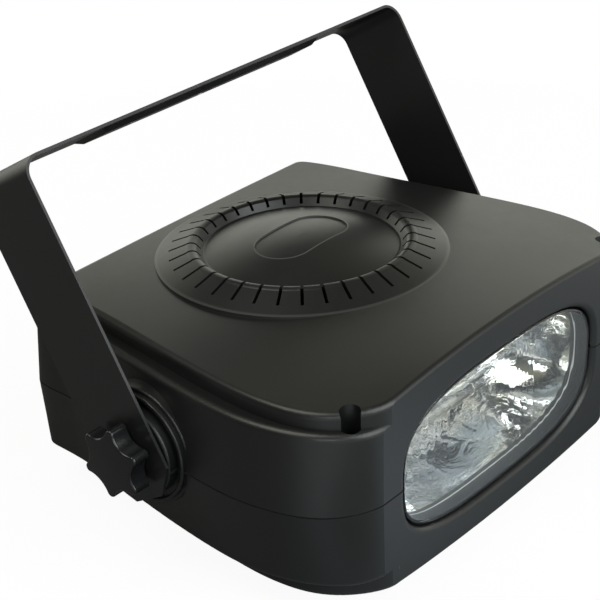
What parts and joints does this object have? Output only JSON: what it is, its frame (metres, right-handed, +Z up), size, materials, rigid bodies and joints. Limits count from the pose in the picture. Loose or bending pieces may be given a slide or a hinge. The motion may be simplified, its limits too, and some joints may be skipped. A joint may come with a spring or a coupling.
{
  "type": "xenon stroboscope",
  "caption": "Box-shaped xenon strobe light: crowned two-shell plastic housing with slotted vent ring, window with bright reflector, tilting U bracket with star clamp knobs.",
  "frame": {"origin": "middle of the overall box, on the plane the feet stand on", "axes": "+X right seen from the lens side, -Y towards the lens side, +Z up"},
  "size_m": [0.3012, 0.2268, 0.195],
  "materials": {
    "housing_black": "satin moulded ABS",
    "foot_rubber": "matt rubber",
    "panel_black": "black powder paint",
    "screw_zinc": "zinc plated",
    "lens_clear": "clear polycarbonate",
    "gasket_black": "foam rubber",
    "reflector_bright": "bright anodised",
    "tube_glass": "clear quartz glass",
    "electrode_metal": "nickel plated",
    "silicone_white": "white silicone",
    "wire_nickel": "drawn wire",
    "holder_ceramic": "unglazed ceramic",
    "board_green": "solder mask",
    "capacitor_sleeve": "shrink sleeve",
    "coil_dark": "varnished",
    "resistor_ceramic": "cement ceramic",
    "sink_aluminium": "plain extruded",
    "package_black": "moulded epoxy",
    "terminal_green": "moulded",
    "pot_metal": "plated",
    "nut_plated": "zinc plated",
    "shaft_aluminium": "turned",
    "dial_black": "moulded with a white pointer",
    "holder_black": "moulded",
    "fuse_glass": "glass with plated ends",
    "gland_black": "moulded nylon",
    "fibre_black": "pressed fibre",
    "bracket_black": "black powder paint",
    "knob_black": "glossy moulded",
    "washer_black": "blackened steel"
  },
  "bodies": {
    "housing": {"top_shell": "housing_black", "bottom_shell": "housing_black", "feet": "foot_rubber", "rear_panel": "panel_black", "housing_screws": "screw_zinc", "lens": "lens_clear", "lens_gasket": "gasket_black", "reflector": "reflector_bright", "reflector_screws": "screw_zinc", "flash_tube": "tube_glass", "tube_electrodes": "electrode_metal", "tube_grommets": "silicone_white", "trigger_wire": "wire_nickel", "tube_holders": "holder_ceramic", "circuit_board": "board_green", "board_screws": "screw_zinc", "flash_capacitors": "capacitor_sleeve", "trigger_coil": "coil_dark", "ballast_resistor": "resistor_ceramic", "heat_sink": "sink_aluminium", "power_switch": "package_black", "power_switch_screw": "screw_zinc", "terminal_block": "terminal_green", "speed_pot": "pot_metal", "pot_nut": "nut_plated", "fuse_holder": "holder_black", "fuse_nut": "nut_plated", "cable_gland": "gland_black", "gland_cap": "gland_black", "gland_nut": "gland_black", "pivot_nuts": "nut_plated", "friction_washers": "fibre_black"},
    "bracket": {"bracket": "bracket_black"},
    "right_clamp": {"right_star_knob": "knob_black", "right_knob_stud": "nut_plated", "right_knob_washer": "washer_black"},
    "left_clamp": {"left_star_knob": "knob_black", "left_knob_stud": "nut_plated", "left_knob_washer": "washer_black"},
    "speed_control": {"pot_shaft": "shaft_aluminium", "speed_knob": "dial_black"},
    "fuse_carrier": {"fuse_cap": "holder_black", "fuse": "fuse_glass"}
  },
  "joints": [
    {"name": "bracket_tilt", "type": "hinge", "parent": "housing", "child": "bracket", "pos_m": [0, 0.0027, 0.0614], "axis": [1, 0, 0], "range_deg": [-78, 131]},
    {"name": "right_knob_turn", "type": "hinge", "parent": "housing", "child": "right_clamp", "pos_m": [0.144, 0.0027, 0.0614], "axis": [1, 0, 0], "range_deg": [0, 360]},
    {"name": "left_knob_turn", "type": "hinge", "parent": "housing", "child": "left_clamp", "pos_m": [-0.144, 0.0027, 0.0614], "axis": [-1, 0, 0], "range_deg": [0, 360]},
    {"name": "speed_turn", "type": "hinge", "parent": "housing", "child": "speed_control", "pos_m": [-0.038, 0.1009, 0.058], "axis": [0, 1, 0], "range_deg": [-150, 150]},
    {"name": "fuse_cap_turn", "type": "hinge", "parent": "housing", "child": "fuse_carrier", "pos_m": [0.004, 0.0949, 0.058], "axis": [0, 1, 0], "range_deg": [0, 90]}
  ]
}
